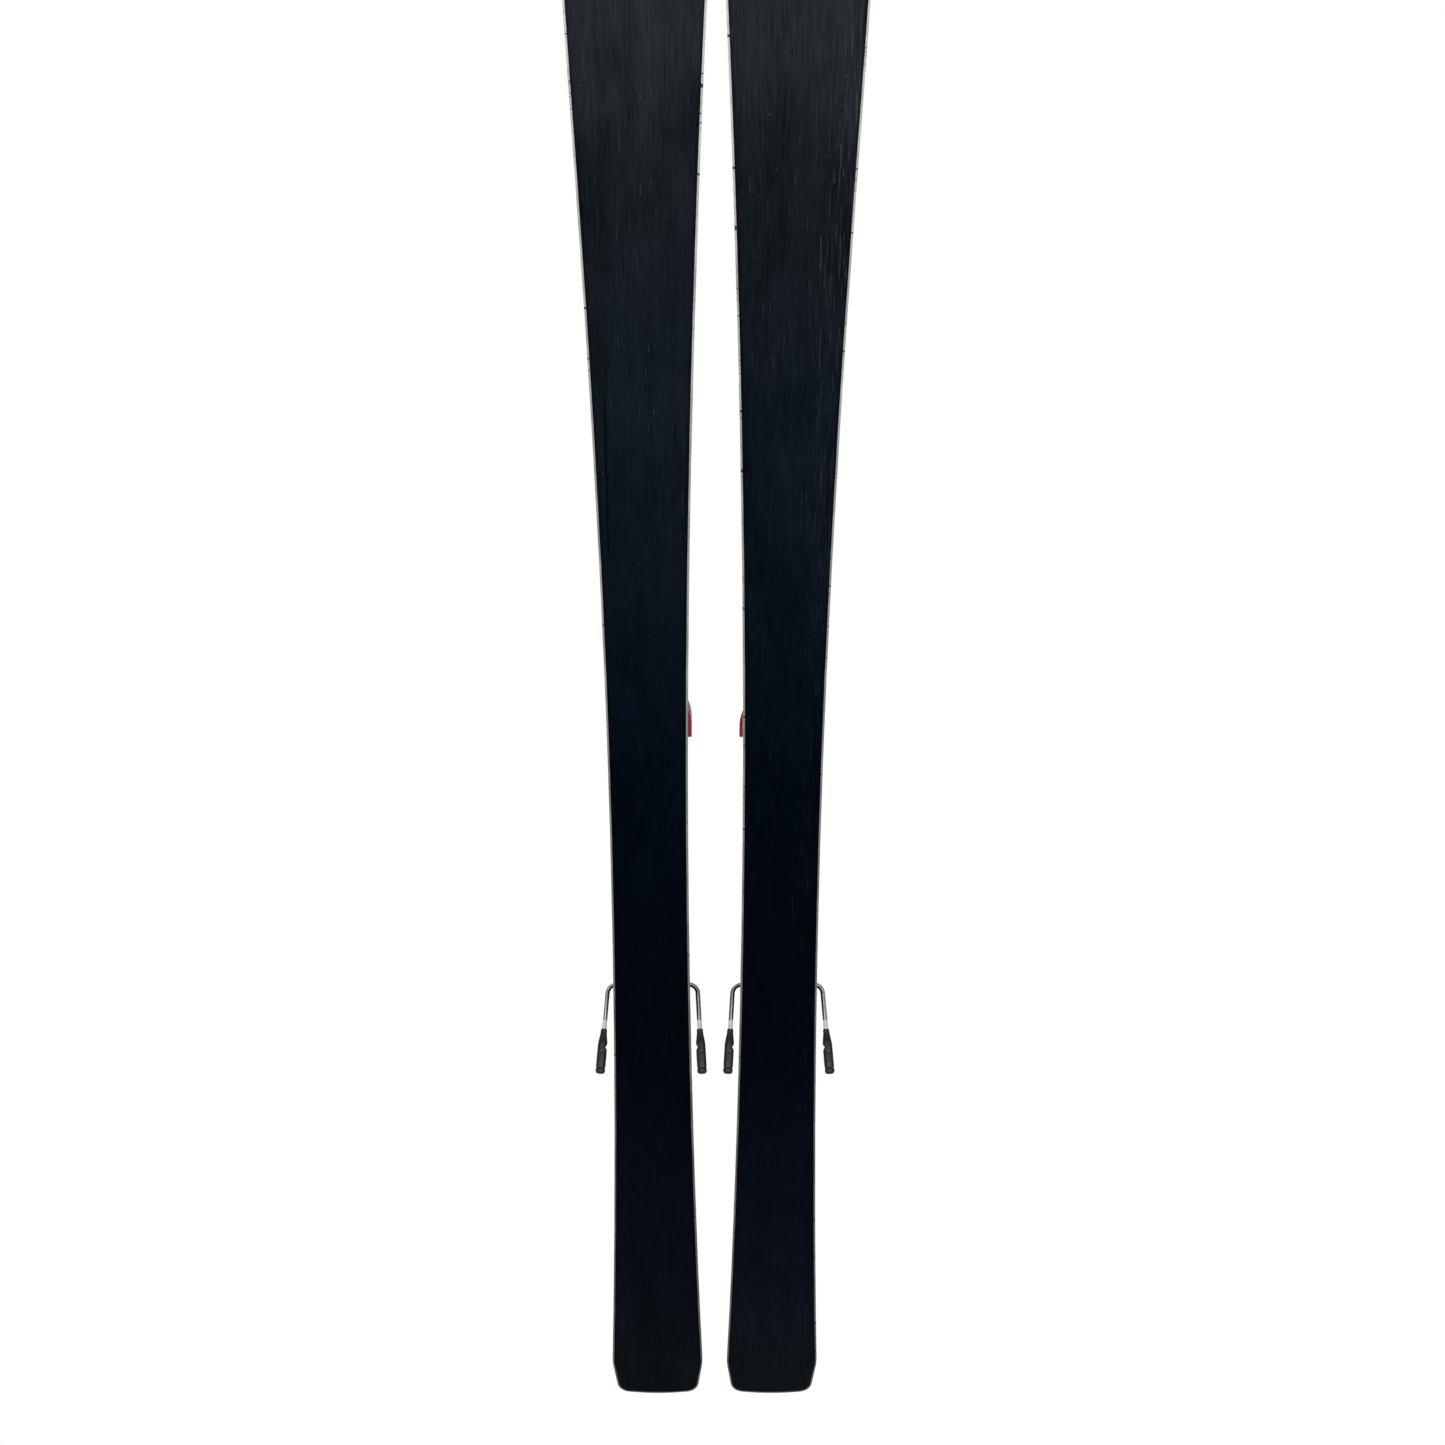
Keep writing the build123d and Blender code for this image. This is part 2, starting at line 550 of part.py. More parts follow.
def heel_lever():
    """The opening lever, with a dished pad for a hand or a pole tip."""
    pin_x, pin_z = at_axle(*LEVER_PIN)
    plan = make_face(Polyline(
        (-LEVER_LENGTH, -17), (-20, -27), (0, -29), (6, -29), (6, 29), (0, 29), (-20, 27), (-LEVER_LENGTH, 17),
        close=True))
    plan = fillet(plan.vertices().sort_by(Axis.X)[:4], 8.0)
    blade = extrude(Pos(0, 0, -1.0) * plan, 6.5)
    blade -= Pos(-28, 0, 12.5) * Sphere(13.5)
    hub = Rot(90, 0, 0) * Cylinder(LEVER_HUB, 58)
    lever = blade + hub - Pos(3, 0, 0) * Box(26, 15.0, 30)
    lever -= Rot(90, 0, 0) * Cylinder(LEVER_PIN_RADIUS + 0.06, 80)
    return Pos(pin_x, 0, pin_z) * Rot(0, LEVER_RISE, 0) * lever


# ---------------------------------------------------------------- brake

def brake_point(angle, distance, y):
    """A point at a distance from the brake's axis, at an angle above the forward horizontal."""
    return BRAKE_X + distance * cos(radians(angle)), y, BRAKE_Z + distance * sin(radians(angle))


def brake_route():
    """The wire's line from one foot over the pedal to the other foot."""
    arm = 180 + ARM_ANGLE
    half = [
        brake_point(arm, ARM_LENGTH - 8, ARM_Y + ARM_SPLAY),
        brake_point(0, 0, ARM_Y),
        brake_point(0, 0, PEDAL_Y),
        brake_point(PEDAL_ANGLE, PEDAL_REACH, PEDAL_Y),
    ]
    return half + [(x, -y, z) for x, y, z in reversed(half)]


def brake_wire():
    """The bent steel wire: two arms, the axis and the loop under the pedal."""
    path = FilletPolyline(*brake_route(), radius=9.0)
    return sweep(Plane(origin=path @ 0, z_dir=path % 0) * Circle(WIRE / 2), path)


def foot_frame():
    """The plane of the +y foot: origin at its far end, x back along the arm, z across its thickness."""
    far = Vector(*brake_point(180 + ARM_ANGLE, ARM_LENGTH, ARM_Y + ARM_SPLAY * ARM_LENGTH / (ARM_LENGTH - 8)))
    along = (Vector(BRAKE_X, ARM_Y, BRAKE_Z) - far).normalized()
    return Plane(origin=far, x_dir=along, z_dir=along.cross(Vector(0, 1, 0)))


def brake_foot():
    """The +y foot: a rounded plastic sleeve with a thumb notch on its inner side."""
    plan = make_face(Polyline(
        (0, -FOOT_WIDTH / 2 + 1), (4, -FOOT_WIDTH / 2), (34, -FOOT_WIDTH / 2 + 0.4), (FOOT_LENGTH, -3.2),
        (FOOT_LENGTH, 3.2), (34, FOOT_WIDTH / 2 - 0.4), (4, FOOT_WIDTH / 2), (0, FOOT_WIDTH / 2 - 1),
        close=True))
    body = extrude(fillet(plan.vertices(), 2.5), FOOT_THICK / 2, both=True)
    body = fillet(body.faces().sort_by(Axis.Z)[-1].edges(), 2.2)
    body = fillet(body.faces().sort_by(Axis.Z)[0].edges(), 2.2)
    return foot_frame() * body


def brake_feet():
    """Both feet, bored for the wire."""
    one = brake_foot() - brake_wire()
    return Compound(children=[*one.solids(), *mirror(one, Plane.XZ).solids()])


def brake_pedal():
    """The pedal that the boot's heel presses down, moulded over the wire's loop."""
    plan = make_face(Polyline(
        (PEDAL_REACH - 22, -20), (PEDAL_REACH + 7, -23), (PEDAL_REACH + 7, 23), (PEDAL_REACH - 22, 20),
        close=True))
    body = extrude(Pos(0, 0, -3.2) * fillet(plan.vertices(), 6.0), 9.4)
    body = fillet(body.faces().sort_by(Axis.Z)[-1].edges(), 2.0)
    for i in range(4):
        body -= Pos(PEDAL_REACH - 15 + i * 5, 0, 6.4) * Box(1.8, 30, 1.6)
    return Pos(BRAKE_X, 0, BRAKE_Z) * Rot(0, -PEDAL_ANGLE, 0) * body - brake_wire()


def brake_plate():
    """The brake's carrier on the rear rail, with a saddle at each side for the wire's axis."""
    plate = hooked_plate((501.0, 588.0), 32.0, RAIL_TOP + 2.5, 3.0)
    for side in (-1, 1):
        saddle = side_prism([
            (BRAKE_X - 11, RAIL_TOP + 1), (BRAKE_X + 13, RAIL_TOP + 1),
            (BRAKE_X + 8, BRAKE_Z + 6), (BRAKE_X - 8, BRAKE_Z + 6)], 3.5)
        plate += Pos(0, side * SADDLE_Y, 0) * saddle
    return plate - rod_y(BRAKE_X, BRAKE_Z, WIRE / 2 + 0.06, 60)


# ---------------------------------------------------------------- assembly

def ski_pieces():
    """Every piece of one ski, by name, in the ski's own frame."""
    pieces = ski_layers()
    screws = rail_screws()
    for layer in ("wood_core", "upper_laminate", "top_sheet"):
        for screw in screws.solids():
            pieces[layer] -= screw
    for build in (
        binding_rails, toe_base, toe_pivot_pin, toe_wings, toe_housing, toe_piston, toe_spring, toe_screw,
        afd_plate, heel_base, heel_axle, heel_housing, heel_piston, heel_spring, heel_screw, lever_pin,
        heel_lever, brake_wire, brake_feet, brake_pedal, brake_plate,
    ):
        pieces[build.__name__] = build()
    pieces["rail_screws"] = screws
    return pieces


def ground(pieces):
    """How far the brake feet reach below the plane of the contact lines."""
    return -pieces["brake_feet"].bounding_box().min.Z


SIDES = {"left": 1, "right": -1}


def place(piece, side, lift):
    """A piece of the left or right ski, moved into the row frame."""
    return Pos(-LENGTH / 2 - TAIL_START / 2, side * PAIR_GAP / 2, lift) * piece


if __name__ == "__main__":
    os.makedirs("parts", exist_ok=True)
    made = ski_pieces()
    drop = ground(made)
    for side_name, side_sign in SIDES.items():
        for name, piece in made.items():
            export_step(place(piece, side_sign, drop), f"parts/{side_name}_{name}.step")
    print(f"length {LENGTH - TAIL_START:.1f}, feet reach {drop:.2f} below the contact plane")
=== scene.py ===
# %% [markdown]
# # A pair of alpine skis, seen from under their running bases
#
# The frame holds every CAD piece in metres, at its own place. This file gives the pieces their materials, and builds
# finer meshes where a moulded piece needs softer edges than its CAD solid has. We load the frame first.

# %% Load the frame
import json
import math
import bmesh
import bpy
from mathutils import Matrix, Vector

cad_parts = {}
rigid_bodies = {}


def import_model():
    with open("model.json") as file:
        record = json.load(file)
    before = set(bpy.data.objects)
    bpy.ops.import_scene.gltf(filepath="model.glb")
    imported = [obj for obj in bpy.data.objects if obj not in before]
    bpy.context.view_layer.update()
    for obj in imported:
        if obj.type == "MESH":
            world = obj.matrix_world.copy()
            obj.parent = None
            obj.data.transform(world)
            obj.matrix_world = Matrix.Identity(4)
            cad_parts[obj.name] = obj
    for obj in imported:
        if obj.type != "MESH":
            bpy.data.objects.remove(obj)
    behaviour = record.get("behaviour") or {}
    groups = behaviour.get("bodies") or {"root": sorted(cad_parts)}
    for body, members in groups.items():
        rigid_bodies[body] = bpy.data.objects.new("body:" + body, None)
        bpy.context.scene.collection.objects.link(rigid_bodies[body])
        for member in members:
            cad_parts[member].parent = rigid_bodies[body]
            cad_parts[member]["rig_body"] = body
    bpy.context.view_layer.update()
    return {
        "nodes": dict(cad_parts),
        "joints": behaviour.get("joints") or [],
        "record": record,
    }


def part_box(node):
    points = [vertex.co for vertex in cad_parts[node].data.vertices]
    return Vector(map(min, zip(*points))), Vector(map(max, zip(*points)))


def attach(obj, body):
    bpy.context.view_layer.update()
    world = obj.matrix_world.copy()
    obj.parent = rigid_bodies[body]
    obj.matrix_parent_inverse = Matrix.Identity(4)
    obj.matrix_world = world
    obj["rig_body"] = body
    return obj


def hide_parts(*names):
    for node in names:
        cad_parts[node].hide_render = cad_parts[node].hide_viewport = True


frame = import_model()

# %% [markdown]
# ## Names and sizes
#
# The two skis are alike, so almost everything below runs once for "left" and once for "right". Places come from the
# frame: a node's box says where its piece is, and a joint's record says where its axis is.

# %% Names and sizes
MM = 0.001
SIDES = {"left": 1, "right": -1}
JOINTS = {joint["name"]: joint for joint in frame["joints"]}
SKI_LOW, SKI_HIGH = (Vector(corner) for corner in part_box("left_running_base"))
SKI_LENGTH = SKI_HIGH.x - SKI_LOW.x
SKI_MIDDLE = (SKI_LOW.y + SKI_HIGH.y) / 2
WAIST = 74.0 * MM
WAIST_X = SKI_LOW.x + 687.0 * MM
FRONT_SIDECUT = 14.05
REAR_SIDECUT = 16.15


def joint_place(name):
    """The point that a hinge turns about, in metres."""
    return Vector(JOINTS[name]["pos_m"])


print(f"ski {SKI_LENGTH:.3f} m long, its middle {SKI_MIDDLE * 1000:.0f} mm from the pair's")

# %% [markdown]
# ## The camera
#
# We look at the skis from below, so that their bases fill the frame from the tails at the bottom to the shovels,
# which run out of the top. The camera stands a little behind the tips and well under the bases, and tilts back by
# about 23 degrees. A 39 mm lens gives the strong taper of the pair. One matrix holds right, up and back, the three
# directions a camera has.

# %% Camera
CAMERA_TILT = math.radians(22.8)
CAMERA_PLACE = Vector((0.5714, 0.001, -1.2873))
CAMERA_DRIFT = 0.0038        # the view leads this much to the left for each metre ahead
CAMERA_ROLL = 0.0030


def make_camera():
    """The main camera, which looks up at the bases."""
    data = bpy.data.cameras.new("camera")
    data.lens = 39.0
    data.sensor_width = 36.0
    data.clip_end = 60.0
    camera = bpy.data.objects.new("camera", data)
    bpy.context.collection.objects.link(camera)
    ahead = Vector((-math.sin(CAMERA_TILT), CAMERA_DRIFT, math.cos(CAMERA_TILT))).normalized()
    right = Vector((CAMERA_ROLL, 1.0, -CAMERA_ROLL))
    up = right.cross(ahead).normalized()
    right = ahead.cross(up)
    turn = Matrix((right, up, -ahead)).transposed()
    camera.matrix_world = Matrix.Translation(CAMERA_PLACE) @ turn.to_4x4()
    bpy.context.scene.camera = camera
    print("camera looks", tuple(round(value, 3) for value in ahead))


make_camera()

# %% [markdown]
# ## Shader maths as plain expressions
#
# A procedural material is arithmetic on sockets, and a tree of Math nodes is hard to read as code. So one small
# class wraps an output socket and overloads + - * /, and each operator adds the Math node that does it. Everything
# else, such as noise or a colour ramp, comes from one method, `node`, which takes the node's type, its settings and
# its inputs.

# %% Socket maths
class Socket:
    """An output of a shader tree. Arithmetic on it adds Math nodes."""

    def __init__(self, paint, output):
        self.paint = paint
        self.output = output

    def maths(self, operation, first, second=None):
        inputs = {0: first} if second is None else {0: first, 1: second}
        return self.paint.node("ShaderNodeMath", {"operation": operation}, inputs)

    def __add__(self, other):
        return self.maths("ADD", self, other)

    def __radd__(self, other):
        return self.maths("ADD", other, self)

    def __sub__(self, other):
        return self.maths("SUBTRACT", self, other)

    def __rsub__(self, other):
        return self.maths("SUBTRACT", other, self)

    def __mul__(self, other):
        return self.maths("MULTIPLY", self, other)

    def __rmul__(self, other):
        return self.maths("MULTIPLY", other, self)

    def __truediv__(self, other):
        return self.maths("DIVIDE", self, other)

    def __gt__(self, other):
        return self.maths("GREATER_THAN", self, other)

    def __abs__(self):
        return self.maths("ABSOLUTE", self)


class Paint:
    """One material: its tree, its Principled shader and short ways to add nodes."""

    def __init__(self, name, **uniform):
        self.material = bpy.data.materials.new(name)
        self.material.use_nodes = True
        self.tree = self.material.node_tree
        self.shader = self.tree.nodes["Principled BSDF"]
        for socket, value in uniform.items():
            self.shader.inputs[socket.replace("_", " ")].default_value = value

    def plug(self, target, value):
        """Puts a number, a tuple or another node's output into an input."""
        if isinstance(value, Socket):
            self.tree.links.new(value.output, target)
        elif isinstance(value, tuple) and len(value) == 3 and target.type == "RGBA":
            target.default_value = (*value, 1.0)
        else:
            target.default_value = value

    def node(self, kind, settings, inputs, output=0):
        """Adds a node: its settings first, then its inputs by name or number. Returns one output."""
        made = self.tree.nodes.new(kind)
        for name, value in settings.items():
            if name == "stops":
                self.set_stops(made.color_ramp, value)
            else:
                setattr(made, name, value)
        for key, value in inputs.items():
            self.plug(made.inputs[key], value)
        return Socket(self, made.outputs[output])

    @staticmethod
    def set_stops(ramp, stops):
        """Gives a ramp its (place, colour) stops."""
        while len(ramp.elements) < len(stops):
            ramp.elements.new(1.0)
        for element, (place, colour) in zip(ramp.elements, stops):
            element.position = place
            element.color = (*colour, 1.0) if isinstance(colour, tuple) else (colour, colour, colour, 1.0)

    def place(self):
        """The surface point in the row frame, in metres: nodes sit at the origin, so object space is that."""
        return self.node("ShaderNodeTexCoord", {}, {}, "Object")

    def axes(self, vector=None):
        """x, y and z of a vector, as three sockets."""
        split = self.tree.nodes.new("ShaderNodeSeparateXYZ")
        self.plug(split.inputs[0], vector or self.place())
        return [Socket(self, out) for out in split.outputs]

    def stretched(self, x, y, z):
        """The surface point scaled by its own factor along each axis."""
        return self.node(
            "ShaderNodeVectorMath", {"operation": "MULTIPLY"}, {0: self.place(), 1: (x, y, z)})

    def noise(self, vector, scale, detail=2.0, rough=0.5, warp=0.0):
        """Fractal noise from 0 to 1, with most of it near 0.5."""
        inputs = {"Vector": vector, "Scale": scale, "Detail": detail, "Roughness": rough, "Distortion": warp}
        return self.node("ShaderNodeTexNoise", {}, inputs)

    def ramp(self, value, stops):
        """Numbers or colours at stops along 0 to 1."""
        return self.node("ShaderNodeValToRGB", {"stops": stops}, {0: value})

    def fade(self, value, low, high):
        """0 below low, 1 above high, smooth between."""
        inputs = {"Value": value, "From Min": low, "From Max": high}
        return self.node("ShaderNodeMapRange", {"interpolation_type": "SMOOTHSTEP"}, inputs)

    def blend(self, factor, first, second):
        """A colour from first to second."""
        return self.node("ShaderNodeMix", {"data_type": "RGBA"}, {0: factor, 6: first, 7: second}, 2)

    def scaled(self, colour, gain):
        """A colour times a number."""
        return self.node("ShaderNodeVectorMath", {"operation": "SCALE"}, {0: colour, 3: gain})

    def set(self, **values):
        """Feeds the shader's sockets, named with underscores for spaces."""
        for socket, value in values.items():
            self.plug(self.shader.inputs[socket.replace("_", " ")], value)

    def bump(self, height, strength, depth):
        """Turns a height into the surface's normal. depth is in metres."""
        inputs = {"Height": height, "Strength": strength, "Distance": depth}
        self.set(Normal=self.node("ShaderNodeBump", {}, inputs))


print("shader maths ready")

# %% [markdown]
# ## The running base
#
# A ski's base is sintered polyethylene filled with graphite, so it is almost black. A grinding stone leaves a fine
# structure of lengthwise grooves, which show as streaks, and use adds specks, short scratches and one deep gouge. The
# tone grows paler towards the shovel. Nearly all of it is noise on coordinates that are squeezed along the ski: one
# noise cell of a streak or a groove is from fifteen to a hundred times as long as it is wide.

# %% Running base
def edge_distance(paint, x, y):
    """How far inside the ski's outline a point lies, from the sidecut's two radii."""
    offset = x - WAIST_X
    bend = (offset > 0.0) * (0.5 / FRONT_SIDECUT - 0.5 / REAR_SIDECUT) + 0.5 / REAR_SIDECUT
    return WAIST / 2 + offset * offset * bend - abs(abs(y) - SKI_MIDDLE)


# Each noise of the base: cells a metre along and across, detail, roughness, warp, and its share in the tone.
BASE_GRAIN = {
    "streak": (34.0, 560.0, 4.0, 0.68, 0.15, 2.0), "groove": (16.0, 1500.0, 3.0, 0.7, 0.0, 1.3),
    "band": (2.2, 90.0, 2.0, 0.6, 0.0, 0.6), "cloud": (9.0, 24.0, 4.0, 0.6, 0.0, 1.2),
    "wear": (1.6, 9.0, 2.0, 0.5, 0.0, 1.2),
}
BASE_TONES = [
    (0.035, (0.0048, 0.0074, 0.0104)), (0.135, (0.0025, 0.0045, 0.0095)), (0.30, (0.0004, 0.0016, 0.0042)),
    (0.46, (0.0005, 0.0030, 0.0074)), (0.583, (0.0027, 0.0060, 0.0112)), (0.673, (0.0050, 0.0090, 0.0140)),
    (0.80, (0.0084, 0.0120, 0.0150)), (0.873, (0.0180, 0.0222, 0.0262))]
LEAST_GAIN = 0.15
GOUGE_OUT = 31.0 * MM        # how far outside the right ski's middle line its one deep gouge lies


def base_ground(paint, grain, along):
    """The tone along the ski, made lighter and darker by every noise."""
    gain = 1.0
    for name, cell in BASE_GRAIN.items():
        gain = gain + (grain[name] - 0.5) * cell[-1]
    gain = paint.node("ShaderNodeMath", {"operation": "MAXIMUM"}, {0: gain, 1: LEAST_GAIN})
    return paint.scaled(paint.ramp(along, BASE_TONES), gain)


def base_scratches(paint, inside, y):
    """A mask of short pale scratches, closer together near the left ski's outer edge."""
    lint = paint.noise(paint.stretched(30.0, 620.0, 1.0), 1.0, 2.0, 0.7, 0.6)
    outer = paint.fade(inside, 0.050, 0.012) * paint.fade(y, 0.06, 0.09)
    return paint.fade(lint, 0.66 - 0.10 * outer, 0.73 - 0.08 * outer)


def base_gouge(paint, x, y):
    """A mask of the one deep gouge, a wavering line over a tenth of the ski."""
    wander = paint.noise(paint.stretched(14.0, 0.0, 0.0), 1.0, 2.0, 0.5)
    line = abs(y + SKI_MIDDLE + GOUGE_OUT + (wander - 0.5) * 0.004)
    start = paint.fade(x, SKI_LOW.x + 0.60 * SKI_LENGTH, SKI_LOW.x + 0.62 * SKI_LENGTH)
    end = paint.fade(x, SKI_LOW.x + 0.705 * SKI_LENGTH, SKI_LOW.x + 0.69 * SKI_LENGTH)
    return paint.fade(line, 0.0012, 0.0004) * start * end


def paint_running_base():
    """Stone-ground graphite base: nearly black at the middle, paler towards both ends."""
    paint = Paint("base_graphite", Specular_IOR_Level=0.015)
    x, y, _ = paint.axes()
    grain = {
        name: paint.noise(paint.stretched(length, width, 1.0), 1.0, detail, rough, warp)
        for name, (length, width, detail, rough, warp, _) in BASE_GRAIN.items()}
    along = (x - SKI_LOW.x) / SKI_LENGTH + (grain["cloud"] - 0.5) * 0.10
    forward = paint.fade(along, 0.45, 0.85)
    inside = edge_distance(paint, x, y)
    dust = paint.noise(paint.stretched(120.0, 200.0, 1.0), 1.0, 2.0, 0.7)
    pale_speck = paint.fade(dust, 0.735, 0.775) * (0.15 + 0.85 * forward)
    scratch = base_scratches(paint, inside, y)
    gouge = base_gouge(paint, x, y)
    colour = base_ground(paint, grain, along)
    colour = paint.blend(paint.fade(inside, 0.0056, 0.0024) * 0.5, colour, (0.0008, 0.0016, 0.0026))
    colour = paint.blend(paint.fade(dust, 0.30, 0.26) * 0.75, colour, (0.0004, 0.0008, 0.0014))
    colour = paint.blend(pale_speck * 0.6, colour, (0.20, 0.20, 0.19))
    colour = paint.blend(scratch * (0.06 + 0.34 * forward), colour, (0.085, 0.092, 0.094))
    colour = paint.blend(gouge * 0.8, colour, (0.0004, 0.0006, 0.0010))
    paint.set(Base_Color=colour, Roughness=0.40 + 0.22 * grain["groove"] - 0.06 * grain["band"])
    paint.bump(grain["groove"] * 0.8 + grain["band"] * 0.3 - gouge * 2.0 - scratch, 0.3, 0.00005)
    return paint.material


BASE = paint_running_base()
print("base material", BASE.name)

# %% [markdown]
# ## The steel edges
#
# The edges are ground carbon steel, less than two millimetres wide on the base's side. They read as a thin pale
# line, broken by small dark nicks and a few rust-brown stains. A noise that changes fast along the ski and slowly
# across it makes nicks that cut right over the edge.

# %% Steel edges
def paint_edge_steel():
    """Ground steel with nicks, light scratches and a little rust, duller towards the tail."""
    paint = Paint("edge_steel", Metallic=0.45, Specular_IOR_Level=0.3)
    x, _, _ = paint.axes()
    grind = paint.noise(paint.stretched(900.0, 40.0, 40.0), 1.0, 2.0, 0.6)
    tone = paint.noise(paint.stretched(26.0, 3.0, 3.0), 1.0, 3.0, 0.6)
    nick = paint.fade(paint.noise(paint.stretched(190.0, 30.0, 30.0), 1.0, 2.0, 0.6), 0.64, 0.69)
    rust = paint.fade(paint.noise(paint.stretched(70.0, 60.0, 60.0), 1.0, 3.0, 0.7), 0.60, 0.72)
    bright = paint.ramp(tone * 0.7 + grind * 0.3, [
        (0.3, (0.30, 0.285, 0.255)), (0.5, (0.50, 0.480, 0.435)), (0.7, (0.66, 0.645, 0.595))])
    dull = paint.ramp(tone * 0.7 + grind * 0.3, [
        (0.3, (0.105, 0.102, 0.080)), (0.5, (0.175, 0.170, 0.135)), (0.7, (0.29, 0.285, 0.24))])
    forward = paint.fade(x, SKI_LOW.x + 0.15 * SKI_LENGTH, SKI_LOW.x + 0.80 * SKI_LENGTH)
    colour = paint.blend(forward, dull, bright)
    colour = paint.blend(rust * 0.4, colour, (0.20, 0.125, 0.075))
    colour = paint.blend(nick * 0.9, colour, (0.020, 0.020, 0.020))
    paint.set(Base_Color=colour, Roughness=0.34 + 0.25 * tone + 0.3 * nick)
    paint.bump(grind * 0.3 - nick, 0.4, 0.0001)
    return paint.material


EDGE = paint_edge_steel()
print("edge material", EDGE.name)

# %% [markdown]
# ## Laminates, core and sidewalls
#
# Between base and top sheet the ski is a sandwich: glass fibre in amber resin, strips of poplar and ash, and black
# phenolic sidewalls. The laminates show only as thin lines at the edge. The fibre's weave is two sine-like bands
# crossed at right angles, and the wood's grain is noise stretched along the strips.

# %% Sandwich
def paint_fibre():
    """Woven glass in amber resin."""
    paint = Paint("fibre_laminate", Coat_Weight=0.3, Coat_Roughness=0.2)
    x, y, z = paint.axes()
    warp = paint.node("ShaderNodeMath", {"operation": "SINE"}, {0: (x + z) * 4200.0})
    weft = paint.node("ShaderNodeMath", {"operation": "SINE"}, {0: (y + z) * 4200.0})
    cloud = paint.noise(paint.place(), 40.0, 3.0)
    colour = paint.ramp(warp * weft * 0.2 + 0.3 + cloud * 0.4, [
        (0.25, (0.16, 0.13, 0.075)), (0.5, (0.33, 0.29, 0.18)), (0.75, (0.52, 0.47, 0.33))])
    paint.set(Base_Color=colour, Roughness=0.35 + 0.2 * cloud)
    paint.bump(warp * weft, 0.25, 0.00008)
    return paint.material


def paint_core_wood():
    """Glued strips of two woods."""
    paint = Paint("core_wood")
    _, y, _ = paint.axes()
    strip = paint.node("ShaderNodeMath", {"operation": "PINGPONG"}, {0: y, 1: 0.011}) / 0.011
    grain = paint.noise(paint.stretched(9.0, 700.0, 300.0), 1.0, 4.0, 0.6)
    pale = paint.ramp(grain, [(0.3, (0.46, 0.30, 0.16)), (0.7, (0.68, 0.50, 0.31))])
    brown = paint.ramp(grain, [(0.3, (0.27, 0.15, 0.07)), (0.7, (0.45, 0.28, 0.15))])
    paint.set(Base_Color=paint.blend(strip > 0.5, pale, brown), Roughness=0.5 + 0.25 * grain)
    paint.bump(grain, 0.3, 0.0001)
    return paint.material


def paint_sidewall():
    """Black phenolic, milled lengthwise, with scuffs."""
    paint = Paint("sidewall")
    streak = paint.noise(paint.stretched(8.0, 1800.0, 1800.0), 1.0, 3.0, 0.6)
    scuff = paint.fade(paint.noise(paint.stretched(60.0, 300.0, 900.0), 1.0, 3.0, 0.7), 0.62, 0.75)
    colour = paint.ramp(streak, [(0.3, (0.006, 0.006, 0.007)), (0.7, (0.018, 0.018, 0.020))])
    paint.set(Base_Color=paint.blend(scuff * 0.5, colour, (0.11, 0.11, 0.11)), Roughness=0.38 + 0.3 * streak)
    paint.bump(streak - scuff, 0.3, 0.00006)
    return paint.material


FIBRE = paint_fibre()
WOOD = paint_core_wood()
SIDEWALL = paint_sidewall()
print("sandwich materials", FIBRE.name, WOOD.name, SIDEWALL.name)

# %% [markdown]
# ## The top sheet
#
# The top sheet is a printed film under a clear gloss. Its pattern here is our own and says nothing: a charcoal
# ground, a rose-red blade that narrows towards the waist from both ends, thin pale pinstripes beside it, and fine
# slanting lines in the field. Each shape is a distance compared with a width, and `fade` turns the comparison into a
# clean edge. The skis are a mirrored pair, so everything is measured from each ski's own middle line, outwards.

# %% Top sheet
def paint_top_sheet():
    """Printed film: charcoal, rose blades, pinstripes and slanting lines under a clear coat."""
    paint = Paint("top_sheet", Coat_Roughness=0.08)
    x, y, _ = paint.axes()
    out = abs(y) - SKI_MIDDLE
    along = (x - SKI_LOW.x) / SKI_LENGTH
    front = paint.fade(along, 0.60, 1.0)
    rear = paint.fade(along, 0.22, 0.0)
    reach = front + rear
    slant = (x * 0.34 + out) * 62.0
    line = abs(paint.node("ShaderNodeMath", {"operation": "FRACT"}, {0: slant}) - 0.5)
    hair = paint.fade(line, 0.47, 0.49) * paint.fade(abs(along - 0.5), 0.14, 0.2)
    blade_edge = abs(out - 0.012 + 0.02 * reach) - (0.002 + 0.026 * reach)
    blade = paint.fade(blade_edge, 0.0004, -0.0004) * paint.fade(reach, 0.01, 0.03)
    pin = paint.fade(abs(blade_edge - 0.0035), 0.0011, 0.0007) * paint.fade(reach, 0.01, 0.05)
    ground = paint.noise(paint.stretched(14.0, 60.0, 1.0), 1.0, 3.0, 0.6)
    flake = paint.noise(paint.place(), 2600.0, 1.0)
    colour = paint.ramp(ground * 0.8 + flake * 0.2, [
        (0.3, (0.011, 0.012, 0.015)), (0.5, (0.019, 0.021, 0.026)), (0.7, (0.031, 0.034, 0.041))])
    colour = paint.blend(hair * 0.4, colour, (0.20, 0.21, 0.22))
    rose = paint.ramp(ground, [(0.3, (0.33, 0.022, 0.045)), (0.7, (0.50, 0.050, 0.075))])
    colour = paint.blend(blade, colour, rose)
    colour = paint.blend(pin * 0.9, colour, (0.62, 0.63, 0.64))
    worn = paint.noise(paint.stretched(55.0, 700.0, 1.0), 1.0, 3.0, 0.7, 0.4)
    scratch = paint.fade(worn, 0.69, 0.75)
    paint.set(Base_Color=paint.blend(scratch * 0.35, colour, (0.3, 0.3, 0.3)))
    paint.set(Roughness=0.24 + 0.14 * ground + 0.3 * scratch, Coat_Weight=0.55 - 0.4 * scratch)
    paint.bump(ground * 0.2 - scratch, 0.15, 0.00005)
    return paint.material


